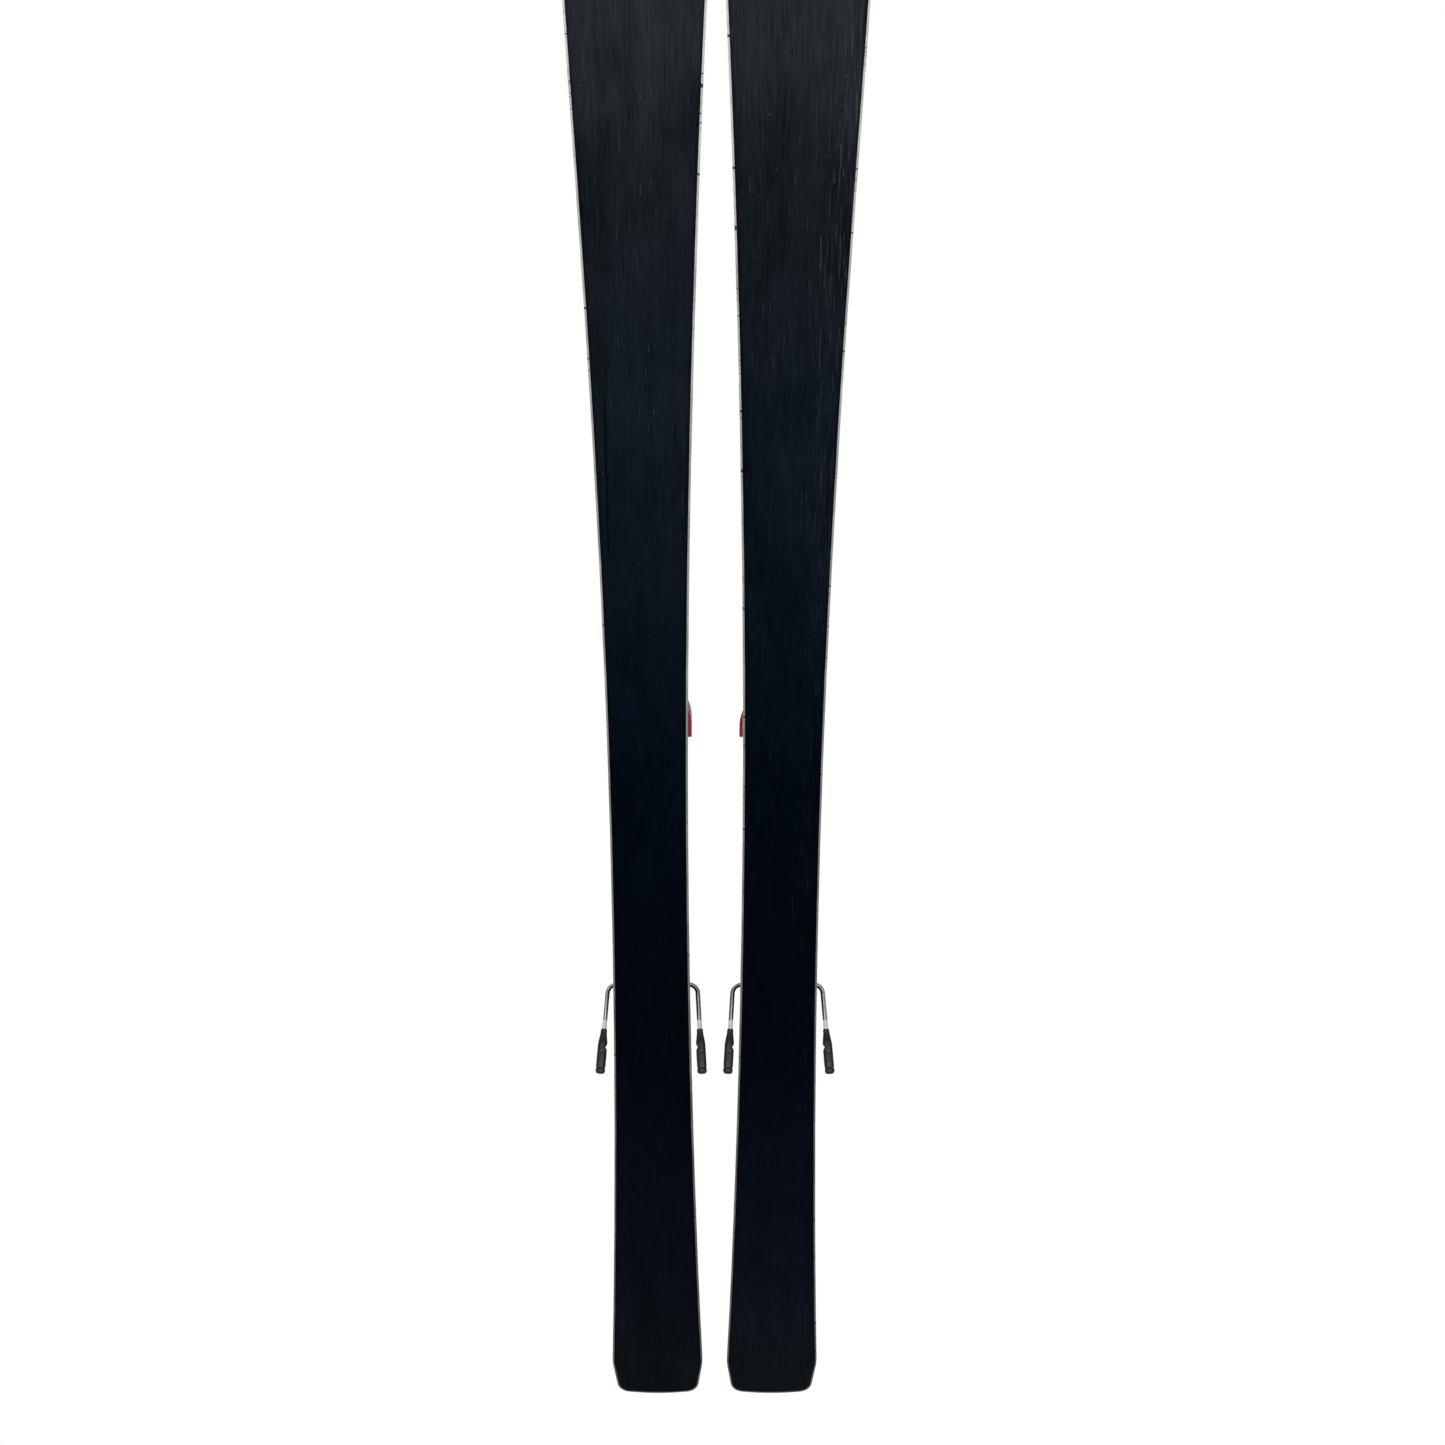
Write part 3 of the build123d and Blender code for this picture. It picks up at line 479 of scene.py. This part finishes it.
TOP = paint_top_sheet()
print("top sheet material", TOP.name)

# %% [markdown]
# ## Moulded plastics
#
# The bindings are glass-filled nylon. Up close it has a fine spark-eroded grain and slightly mottled gloss, and its
# surface is rubbed lighter here and there. One function makes every opaque finish from a dark and a light tone, so
# that the family looks like one product. The lens over the toe's release indicator has its own function.

# %% Moulded plastics
def paint_moulded(name, dark, light, rough, grain=2300.0, depth=0.00007, coat=0.0):
    """A moulded plastic with grain, mottling and a few rub marks."""
    paint = Paint(name, Coat_Roughness=0.15, Specular_IOR_Level=0.45)
    mottle = paint.noise(paint.place(), 55.0, 4.0, 0.6)
    fine = paint.noise(paint.place(), grain, 2.0, 0.6)
    rub = paint.fade(paint.noise(paint.stretched(210.0, 420.0, 420.0), 1.0, 3.0, 0.7), 0.66, 0.76)
    colour = paint.ramp(mottle * 0.7 + fine * 0.3, [(0.32, dark), (0.68, light)])
    rubbed = tuple(min(1.0, value * 1.6 + 0.03) for value in light)
    paint.set(Base_Color=paint.blend(rub * 0.45, colour, rubbed))
    paint.set(Roughness=rough - 0.07 + 0.16 * mottle + 0.08 * rub, Coat_Weight=coat * (0.6 + 0.4 * mottle))
    paint.bump(fine - rub * 0.5, 0.35, depth)
    return paint.material


HOUSING = paint_moulded("housing_plastic", (0.018, 0.018, 0.020), (0.040, 0.041, 0.045), 0.36)
CARRIER = paint_moulded("rail_plastic", (0.011, 0.011, 0.012), (0.025, 0.025, 0.027), 0.46)
FOOT = paint_moulded("foot_plastic", (0.0028, 0.0042, 0.0080), (0.0080, 0.0112, 0.0175), 0.33)
ACCENT = paint_moulded("accent_plastic", (0.40, 0.026, 0.050), (0.55, 0.055, 0.080), 0.34, 1800.0, 0.00004, 0.4)
RUBBER = paint_moulded("soft_pad", (0.010, 0.010, 0.010), (0.022, 0.022, 0.022), 0.72, 1500.0, 0.00012)


def paint_gauge():
    """The clear window of a release indicator: a pale scale with tick lines seen through a gloss lens."""
    paint = Paint("gauge_lens", Coat_Roughness=0.03, Coat_IOR=1.5)
    x, y, _ = paint.axes()
    tick = abs(paint.node("ShaderNodeMath", {"operation": "FRACT"}, {0: x * 480.0}) - 0.5)
    scale = paint.fade(tick, 0.36, 0.42) * paint.fade(abs(abs(y) - SKI_MIDDLE), 0.0030, 0.0024)
    haze = paint.noise(paint.place(), 300.0, 3.0, 0.6)
    ground = paint.ramp(haze, [(0.3, (0.50, 0.50, 0.47)), (0.7, (0.66, 0.66, 0.62))])
    paint.set(Base_Color=paint.blend(scale, ground, (0.020, 0.020, 0.022)))
    paint.set(Roughness=0.22 + 0.14 * haze, Coat_Weight=0.8 + 0.2 * haze)
    paint.bump(haze, 0.1, 0.00003)
    return paint.material


GAUGE = paint_gauge()
print("plastics", HOUSING.name, CARRIER.name, FOOT.name, ACCENT.name, RUBBER.name)

# %% [markdown]
# ## Metals
#
# Three plain steels share one function: the pins and screws shine, the slider's plate is brushed across the boot's
# way, and the springs are dark from their oil bath. The brushed one stretches its noise in one direction. The plated
# wire of the brake has its own function, because part of it is pale and matt: the distance from the brake's axis,
# which stays the same while the arm swings, says where.

# %% Metals
def paint_metal(name, dark, light, rough, stretch, depth):
    """A metal whose brushing or drawing lines follow the given stretch."""
    paint = Paint(name, Metallic=1.0)
    brush = paint.noise(paint.stretched(*stretch), 1.0, 3.0, 0.6)
    stain = paint.noise(paint.place(), 60.0, 3.0, 0.6)
    colour = paint.ramp(stain * 0.6 + brush * 0.4, [(0.3, dark), (0.7, light)])
    paint.set(Base_Color=colour, Roughness=rough * 0.75 + rough * 0.5 * brush)
    paint.bump(brush, 0.2, depth)
    return paint.material


PALE_BAND_REACH = 40.8 * MM      # from the brake's axis to the middle of the pale stretch


def paint_wire():
    """Plated brake wire, with a pale matt stretch where each foot's sleeve begins."""
    paint = Paint("wire_steel", Specular_IOR_Level=0.5)
    axis = joint_place("left_brake_swing")
    x, _, z = paint.axes()
    ahead = x - axis.x
    above = z - axis.z
    reach = paint.node("ShaderNodeMath", {"operation": "SQRT"}, {0: ahead * ahead + above * above})
    pale_band = paint.fade(abs(reach - PALE_BAND_REACH), 0.0050, 0.0036) * paint.fade(ahead, 0.0, -0.01)
    draw = paint.noise(paint.place(), 900.0, 3.0, 0.6)
    stain = paint.noise(paint.place(), 120.0, 3.0, 0.6)
    steel = paint.ramp(stain * 0.6 + draw * 0.4, [(0.3, (0.28, 0.29, 0.30)), (0.7, (0.66, 0.67, 0.68))])
    paint.set(Base_Color=paint.blend(pale_band, steel, (0.74, 0.74, 0.73)))
    paint.set(Metallic=1.0 - 0.85 * pale_band, Roughness=0.13 + 0.12 * draw + 0.3 * pale_band)
    paint.bump(draw, 0.15, 0.00002)
    return paint.material


WIRE = paint_wire()
BRIGHT = paint_metal("bright_steel", (0.52, 0.52, 0.51), (0.80, 0.80, 0.79), 0.17, (900.0, 900.0, 900.0), 0.00002)
SPRING = paint_metal("spring_steel", (0.10, 0.10, 0.11), (0.24, 0.24, 0.25), 0.36, (700.0, 700.0, 700.0), 0.00003)
SLIDER = paint_metal("slider_steel", (0.50, 0.50, 0.50), (0.72, 0.72, 0.71), 0.28, (2600.0, 25.0, 800.0), 0.00003)
print("metals", BRIGHT.name, SPRING.name, SLIDER.name)

# %% [markdown]
# ## Every carried-over piece gets its finish
#
# The record says which slot each node is made of, and the materials above carry the slots' names, so the CAD
# nodes can be dressed in one loop. Only the brake's wire takes its own finish instead of its slot's.

# %% Dress the CAD nodes
FINISHES = {
    "base_graphite": BASE, "edge_steel": EDGE, "fibre_laminate": FIBRE, "core_wood": WOOD, "sidewall": SIDEWALL,
    "top_sheet": TOP, "rail_plastic": CARRIER, "housing_plastic": HOUSING, "accent_plastic": ACCENT,
    "foot_plastic": FOOT, "slider_steel": SLIDER, "bright_steel": BRIGHT, "spring_steel": SPRING,
}
SLOT_OF = {part["node"]: part["material_slot"] for part in frame["record"]["subparts"]}


def dress(piece, material):
    """Gives a mesh one material in place of all it had."""
    piece.data.materials.clear()
    piece.data.materials.append(material)


for node_name, node_object in frame["nodes"].items():
    dress(node_object, WIRE if node_name.endswith("brake_wire") else FINISHES[SLOT_OF[node_name]])
print("dressed", len(frame["nodes"]), "nodes")

# %% [markdown]
# ## Softening moulded pieces
#
# A CAD solid has knife edges, and a moulded piece never does. A bevel modifier fails on the many small faces around
# bores and cut-outs, so these pieces get a new skin: a voxel remesh turns the copy into an even net of little
# squares, a smooth pass rounds every corner by about a millimetre, and a decimate pass takes faces away again, most
# of them where the skin is flat. The new piece stands for its node and rides on the same body.

# %% Softened copies
def soften(node, material, voxel, rounds, keep):
    """A copy of a node with rounded corners, which replaces it."""
    source = frame["nodes"][node]
    piece = bpy.data.objects.new(node + "_skin", source.data.copy())
    bpy.context.collection.objects.link(piece)
    remesh = piece.modifiers.new("remesh", "REMESH")
    remesh.mode = "VOXEL"
    remesh.voxel_size = voxel
    smooth = piece.modifiers.new("smooth", "SMOOTH")
    smooth.factor = 0.5
    smooth.iterations = rounds
    thin = piece.modifiers.new("thin", "DECIMATE")
    thin.ratio = keep
    baked = bpy.data.meshes.new_from_object(piece.evaluated_get(bpy.context.evaluated_depsgraph_get()))
    piece.modifiers.clear()
    piece.data = baked
    baked.shade_smooth()
    dress(piece, material)
    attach(piece, source["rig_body"])
    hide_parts(node)
    print(piece.name, len(baked.polygons), "faces")


# Each softened node: the voxel's size in metres, rounds of smoothing, and the share of faces kept.
SOFT_PIECES = {
    "toe_wings": (0.0007, 3, 0.35), "toe_housing": (0.0008, 3, 0.3), "toe_base": (0.0008, 2, 0.25),
    "heel_housing": (0.0008, 3, 0.3), "heel_base": (0.0008, 2, 0.25), "heel_lever": (0.0006, 3, 0.35),
    "brake_pedal": (0.0005, 2, 0.35), "brake_plate": (0.0008, 2, 0.25), "afd_plate": (0.0006, 2, 0.3),
}
for side in SIDES:
    for name, (voxel, rounds, keep) in SOFT_PIECES.items():
        node_name = f"{side}_{name}"
        soften(node_name, FINISHES[SLOT_OF[node_name]], voxel, rounds, keep)

# %% [markdown]
# ## Meshes from rings
#
# The feet and the inserts below are built alike: rings of points lie one after another, and a band of four-sided
# faces joins each ring to the next. A ring's outline is a squared circle, a circle that its power presses towards a
# square. The last function turns the finished bmesh into a piece that rides on its body.

# %% Rings
def squared_circle(angle, power=3.2):
    """A point on a unit circle that is pressed towards a square."""
    across, deep = math.cos(angle), math.sin(angle)
    return (math.copysign(abs(across) ** (2 / power), across), math.copysign(abs(deep) ** (2 / power), deep))


def join_rings(mesh, rings):
    """Bands of faces between rings that have equally many points."""
    for first, second in zip(rings, rings[1:]):
        for step in range(len(first)):
            after = (step + 1) % len(first)
            mesh.faces.new((first[step], first[after], second[after], second[step]))


def piece_from(mesh, name, body, material):
    """Turns a bmesh into a smooth piece that rides on a body."""
    bmesh.ops.recalc_face_normals(mesh, faces=mesh.faces)
    data = bpy.data.meshes.new(name)
    mesh.to_mesh(data)
    mesh.free()
    data.shade_smooth()
    piece = bpy.data.objects.new(name, data)
    bpy.context.collection.objects.link(piece)
    dress(piece, material)
    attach(piece, body)
    print(piece.name, len(data.polygons), "faces")
    return piece


# %% [markdown]
# ## The brake feet
#
# Each arm of a brake ends in a moulded sleeve that digs into the snow. It is thin where the wire enters, has a thumb
# notch on the side that faces the ski, a proud panel with a dimple on its face, and a pinch before its round end. The
# shape is a tube of rings along the arm. Small formulas for the notch, the panel and the pinch push the points of
# every ring in and out, which stays smooth because the rings lie only half a millimetre apart.

# %% Brake feet
ARM_ANGLE = math.radians(47.0)
ARM_REACH = 90.0 * MM
ARM_OUT = 45.0 * MM
ARM_END_OUT = 50.5 * MM
FOOT_LENGTH = 45.0 * MM
FOOT_HALF_WIDTH = 4.75 * MM
FOOT_HALF_DEPTH = 3.906 * MM
FOOT_RINGS = 84
FOOT_POINTS = 52
END_SHARE = 0.062            # shares are places along the sleeve, from 0 at its round end to 1 at its neck
PINCH_SHARE = 0.135
DOT_SHARE = 0.47
NOTCH_SHARE = 0.60
LIP_SHARE = 0.975


def bump_at(value, centre, width):
    """1 at the centre, falling smoothly to 0."""
    return math.exp(-((value - centre) / width) ** 2)


def step_at(value, low, high):
    """0 below low, 1 above high, smooth between."""
    share = min(1.0, max(0.0, (value - low) / (high - low)))
    return share * share * (3 - 2 * share)


def foot_girth(share):
    """The sleeve's size along its length: round end, pinch, full body and thin neck."""
    cap = math.sqrt(max(0.0, 1.0 - (max(0.0, END_SHARE - share) / END_SHARE) ** 2))
    neck = 1.0 - 0.34 * step_at(share, 0.62, 0.95)
    lip = math.sqrt(max(0.0, 1.0 - (max(0.0, share - LIP_SHARE) / 0.0251) ** 2))
    return cap * neck * (0.35 + 0.65 * lip) * (1.0 - 0.13 * bump_at(share, PINCH_SHARE, 0.018))


def foot_point(share, angle, inner):
    """Across and depth of one point of a ring, in metres. inner is the sign of the side facing the ski."""
    across, deep = squared_circle(angle)
    girth = foot_girth(share)
    across *= FOOT_HALF_WIDTH * girth
    deep *= FOOT_HALF_DEPTH * girth
    if across * inner > 0:
        across *= 1.0 - 0.36 * bump_at(share, NOTCH_SHARE, 0.045)
    if deep < 0:
        width = abs(across) / FOOT_HALF_WIDTH
        panel = step_at(share, 0.19, 0.23) * step_at(share, 0.80, 0.72) * step_at(width, 0.72, 0.56)
        dot = bump_at(math.hypot(share - DOT_SHARE, across / FOOT_LENGTH), 0.0, 0.021)
        deep -= (0.30 * panel - 0.65 * dot) * MM
    return across, deep


def foot_rings(mesh, side, out):
    """Adds one foot's sleeve to a mesh. out is the side of the ski that it hangs on."""
    axis = joint_place(f"{side}_brake_swing")
    middle = SIDES[side] * SKI_MIDDLE
    start = Vector((axis.x, middle + out * ARM_OUT, axis.z))
    end = Vector((
        axis.x - ARM_REACH * math.cos(ARM_ANGLE), middle + out * ARM_END_OUT,
        axis.z - ARM_REACH * math.sin(ARM_ANGLE)))
    along = (start - end).normalized()
    back = along.cross(Vector((0, 1, 0))).normalized()
    sideways = back.cross(along)
    rings = []
    for row in range(FOOT_RINGS + 1):
        share = row / FOOT_RINGS
        ring = []
        for step in range(FOOT_POINTS):
            across, deep = foot_point(share, 2 * math.pi * step / FOOT_POINTS, -out)
            ring.append(mesh.verts.new(end + along * share * FOOT_LENGTH + sideways * across + back * deep))
        rings.append(ring)
    join_rings(mesh, rings)
    mesh.faces.new(rings[-1])
    bmesh.ops.remove_doubles(mesh, verts=rings[0], dist=0.00001)


def make_feet(side):
    """Both sleeves of one brake as one piece."""
    mesh = bmesh.new()
    for out in (-1, 1):
        foot_rings(mesh, side, out)
    piece = piece_from(mesh, f"{side}_brake_sleeves", f"{side}_brake", FOOT)
    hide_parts(f"{side}_brake_feet")


for side in SIDES:
    make_feet(side)

# %% [markdown]
# ## Pads and lenses
#
# A binding carries small moulded inserts: the lens over the toe's release indicator, the strips on the toe's slider
# and the tread bars on the brake's carrier. They are all the same kind of shape, a flat form with rounded corners and
# a crowned top, which the profile gives as pairs of reach and rise, from the middle of the top out and down. One
# function makes them all, and every insert then only needs a place, a size, a tilt and a finish.

# %% Insert shape
INSERT_POINTS = 44
INSERT_PROFILE = [(0.30, 1.0), (0.62, 0.98), (0.84, 0.90), (0.94, 0.74), (0.985, 0.50), (1.0, 0.22), (1.0, 0.0)]


def make_insert(name, body, place, size, material, tilt=0.0, power=6.0):
    """A crowned insert at a place. size is (length, width, height) in metres; tilt turns it about the y axis."""
    length, width, height = size
    mesh = bmesh.new()
    rings = []
    for reach, rise in INSERT_PROFILE:
        ring = []
        for step in range(INSERT_POINTS):
            across, deep = squared_circle(2 * math.pi * step / INSERT_POINTS, power)
            ring.append(mesh.verts.new((across * reach * length / 2, deep * reach * width / 2, rise * height)))
        rings.append(ring)
    join_rings(mesh, rings)
    mesh.faces.new(rings[0])
    mesh.faces.new(reversed(rings[-1]))
    turn = Matrix.Translation(place) @ Matrix.Rotation(tilt, 4, "Y")
    bmesh.ops.transform(mesh, matrix=turn, verts=mesh.verts)
    piece_from(mesh, name, body, material)


print("an insert has", len(INSERT_PROFILE) * INSERT_POINTS, "corners")

# %% [markdown]
# Each lens sits in the window of a toe housing. The strips lie across the slider, a little proud of it. The tread
# bars lie ahead of the brake's pedal, out of the way of the pedal when it folds down.

# %% Inserts of both bindings
LENS_SIZE = (17.0 * MM, 8.4 * MM, 2.2 * MM)
STRIP_SIZE = (6.5 * MM, 44.0 * MM, 0.7 * MM)
STRIP_PITCH = 10.5 * MM
BAR_SIZE = (4.2 * MM, 46.0 * MM, 1.0 * MM)
BAR_PITCH = 9.0 * MM
TREAD_HEIGHT = 8.4 * MM      # from the carrier's underside to just under its tread


def piece_box(side, name):
    """Highest corner and middle of a CAD node."""
    low, high = (Vector(corner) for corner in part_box(f"{side}_{name}"))
    return high, (low + high) / 2


def add_toe_inserts(side):
    """The lens of the toe housing and the strips of its slider."""
    high, middle = piece_box(side, "toe_housing")
    lens = Vector((high.x - 32.5 * MM, middle.y, high.z - 4.4 * MM))
    make_insert(f"{side}_toe_lens", f"{side}_toe_jaw", lens, LENS_SIZE, GAUGE, 0.10)
    high, middle = piece_box(side, "afd_plate")
    for row in (-1, 0, 1):
        strip = Vector((middle.x + row * STRIP_PITCH, middle.y, high.z - 0.55 * MM))
        make_insert(
            f"{side}_slider_strip_{row + 2}", f"{side}_toe_slider", strip, STRIP_SIZE, RUBBER, 0.0,
            8.0)


def add_tread_bars(side):
    """Two tread bars on the brake's carrier, ahead of the pedal."""
    high, middle = piece_box(side, "brake_plate")
    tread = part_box(f"{side}_brake_plate")[0][2] + TREAD_HEIGHT
    for row in range(2):
        bar = Vector((high.x - 12.0 * MM - row * BAR_PITCH, middle.y, tread))
        make_insert(
            f"{side}_tread_bar_{row + 1}", f"{side}_heel_carriage", bar, BAR_SIZE, RUBBER, 0.0, 8.0)


for side in SIDES:
    add_toe_inserts(side)
    add_tread_bars(side)
print("inserts made")

# %% [markdown]
# ## Light, air and floor
#
# The skis are lit as for a catalogue: a white surround that the camera sees as pure white, but which lights the
# skis only softly, a very wide sun that lights the whole floor alike, and three large panels that draw the long
# highlights. One panel lies below the shovels, where it greys the dark bases towards the tips, one lies below the
# tails' side, and one stands above for the views from over the skis. The floor is seen only from above: its shader
# is transparent from behind, so it never hides the bases from the main camera.

# %% World, lights and floor
def make_world():
    """White for the camera, softer for everything else."""
    world = bpy.data.worlds.new("air")
    bpy.context.scene.world = world
    world.use_nodes = True
    tree = world.node_tree
    light = tree.nodes["Background"]
    light.inputs[0].default_value = (0.93, 0.96, 1.0, 1.0)
    light.inputs[1].default_value = 0.42
    seen = tree.nodes.new("ShaderNodeBackground")
    seen.inputs[0].default_value = (1.0, 1.0, 1.0, 1.0)
    seen.inputs[1].default_value = 1.0
    path = tree.nodes.new("ShaderNodeLightPath")
    mix = tree.nodes.new("ShaderNodeMixShader")
    tree.links.new(path.outputs["Is Camera Ray"], mix.inputs[0])
    tree.links.new(light.outputs[0], mix.inputs[1])
    tree.links.new(seen.outputs[0], mix.inputs[2])
    tree.links.new(mix.outputs[0], tree.nodes["World Output"].inputs[0])


def make_panel(name, place, aim, size, power):
    """A soft rectangular light at a place, aimed at a point."""
    data = bpy.data.lights.new(name, "AREA")
    data.shape = "RECTANGLE"
    data.size, data.size_y = size
    data.energy = power
    panel = bpy.data.objects.new(name, data)
    panel.location = place
    panel.rotation_euler = (Vector(aim) - Vector(place)).to_track_quat("-Z", "Y").to_euler()
    bpy.context.collection.objects.link(panel)


FLOOR_REACH = 40.0
FLOOR_Z = -0.6 * MM


def make_floor():
    """A pale floor under the brake feet, which shows only to what is above it."""
    mesh = bpy.data.meshes.new("floor")
    reach = FLOOR_REACH
    corners = [(x, y, FLOOR_Z) for x, y in ((-reach, -reach), (reach, -reach), (reach, reach), (-reach, reach))]
    mesh.from_pydata(corners, [], [(0, 1, 2, 3)])
    floor = bpy.data.objects.new("floor", mesh)
    bpy.context.collection.objects.link(floor)
    paint = Paint("floor", Roughness=0.8, Specular_IOR_Level=0.2)
    cloud = paint.noise(paint.place(), 0.8, 2.0)
    paint.set(Base_Color=paint.ramp(cloud, [(0.3, (0.80, 0.80, 0.80)), (0.7, (0.83, 0.83, 0.83))]))
    behind = paint.node("ShaderNodeNewGeometry", {}, {}, "Backfacing")
    clear = paint.node("ShaderNodeBsdfTransparent", {}, {})
    solid = Socket(paint, paint.shader.outputs[0])
    shown = paint.node("ShaderNodeMixShader", {}, {0: behind, 1: solid, 2: clear})
    paint.plug(paint.tree.nodes["Material Output"].inputs[0], shown)
    dress(floor, paint.material)
    floor.visible_diffuse = False
    floor.visible_glossy = False
    floor.visible_shadow = False


SUN_WIDTH = math.radians(60.0)


def make_sun():
    """A very soft sun, which lights the whole floor alike."""
    data = bpy.data.lights.new("sun_soft", "SUN")
    data.energy = 1.7
    data.angle = SUN_WIDTH
    sun = bpy.data.objects.new("sun_soft", data)
    sun.rotation_euler = (math.radians(24.0), math.radians(-18.0), 0.0)
    bpy.context.collection.objects.link(sun)


make_world()
make_sun()
make_panel("panel_under_tips", (1.5, 0.1, -2.2), (0.5, 0, 0), (2.2, 2.6), 34.0)
make_panel("panel_under_side", (-0.6, -2.2, -1.2), (0, 0, 0), (2.5, 1.6), 14.0)
make_panel("panel_over", (0.3, -0.9, 2.4), (0, 0, 0), (2.4, 1.8), 14.0)
make_floor()
bpy.context.scene.view_settings.view_transform = "Standard"
print("light and floor ready")
